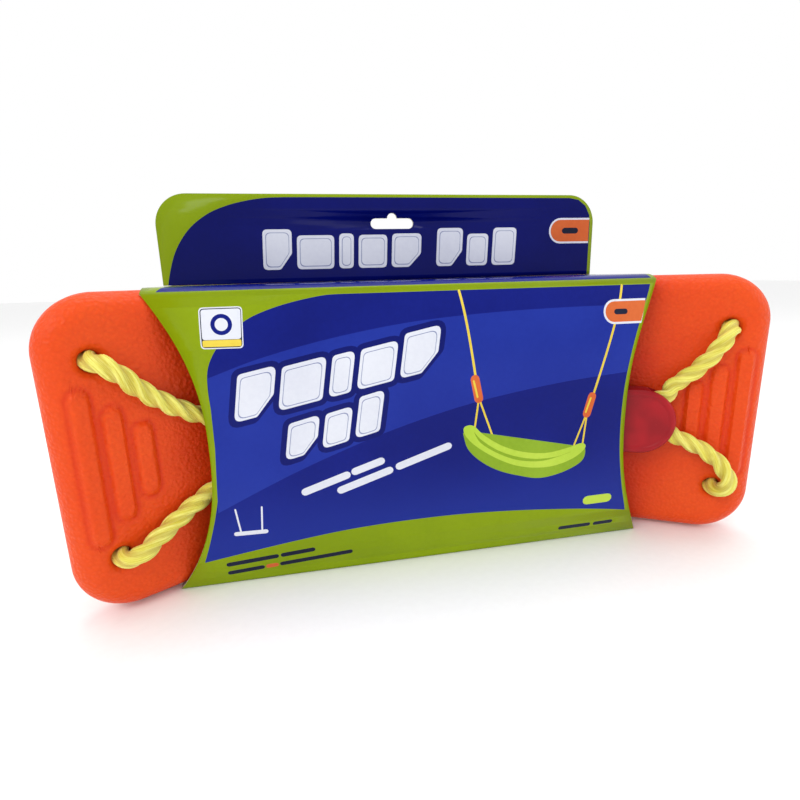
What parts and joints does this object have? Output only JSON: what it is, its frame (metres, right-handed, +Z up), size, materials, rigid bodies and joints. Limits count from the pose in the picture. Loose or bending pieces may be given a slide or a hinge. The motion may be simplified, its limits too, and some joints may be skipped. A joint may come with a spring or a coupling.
{
  "type": "plank swing seat in a retail sleeve",
  "caption": "Bent hollow plastic plank swing seat with rope, flat rope joiners and steel hanging rings, packed in a folding card sleeve with a hang-slot header.",
  "frame": {"origin": "middle of the pack's width and depth, ropes left out, on the surface that it stands on", "axes": "+X to the viewer's right along the seat, +Y away from the printed front, +Z up"},
  "size_m": [0.4288, 0.1069, 0.2356],
  "materials": {
    "seat_orange": "blow-moulded orange polyethylene, fine grain",
    "rope_yellow": "three-strand twisted polyethylene rope",
    "joiner_crimson": "smooth crimson moulding",
    "ring_steel": "bright zinc-plated steel wire",
    "tie_white": "plain plastic tie",
    "card_blue": "glossy printed card",
    "card_navy": "glossy printed card",
    "card_back": "unprinted grey-white card"
  },
  "bodies": {
    "seat": {"seat_shell": "seat_orange", "left_rope_bridle": "rope_yellow", "left_rope_hank": "rope_yellow", "left_rope_tail": "rope_yellow", "left_bridle_knot": "rope_yellow", "left_end_knot": "rope_yellow", "left_hank_tie": "tie_white", "right_rope_bridle": "rope_yellow", "right_rope_hank": "rope_yellow", "right_rope_tail": "rope_yellow", "right_bridle_knot": "rope_yellow", "right_end_knot": "rope_yellow", "right_hank_tie": "tie_white", "left_joiner_front_half": "joiner_crimson", "left_joiner_back_half": "joiner_crimson", "right_joiner_front_half": "joiner_crimson", "right_joiner_back_half": "joiner_crimson"},
    "sleeve": {"sleeve_front_panel": "card_blue", "sleeve_top_panel": "card_blue", "sleeve_back_panel": "card_back", "sleeve_bottom_panel": "card_blue", "sleeve_glue_flap": "card_back"},
    "header": {"header_front_ply": "card_navy", "header_back_ply": "card_navy"},
    "left_ring": {"left_hanging_ring": "ring_steel"},
    "right_ring": {"right_hanging_ring": "ring_steel"}
  },
  "joints": [
    {"name": "sleeve_slide", "type": "slide", "parent": "seat", "child": "sleeve", "axis": [1, 0, 0], "range_m": [0, 0.012]},
    {"name": "header_fold", "type": "hinge", "parent": "sleeve", "child": "header", "pos_m": [0, 0.0471, 0.17875], "axis": [1, 0, 0], "range_deg": [-90, 85]},
    {"name": "left_ring_swing", "type": "hinge", "parent": "seat", "child": "left_ring", "pos_m": [0.061, -0.0131, 0.0895], "axis": [0, 0, 1], "range_deg": [-12, 12]},
    {"name": "right_ring_swing", "type": "hinge", "parent": "seat", "child": "right_ring", "pos_m": [-0.019, -0.0131, 0.0895], "axis": [0, 0, 1], "range_deg": [-12, 12]}
  ]
}
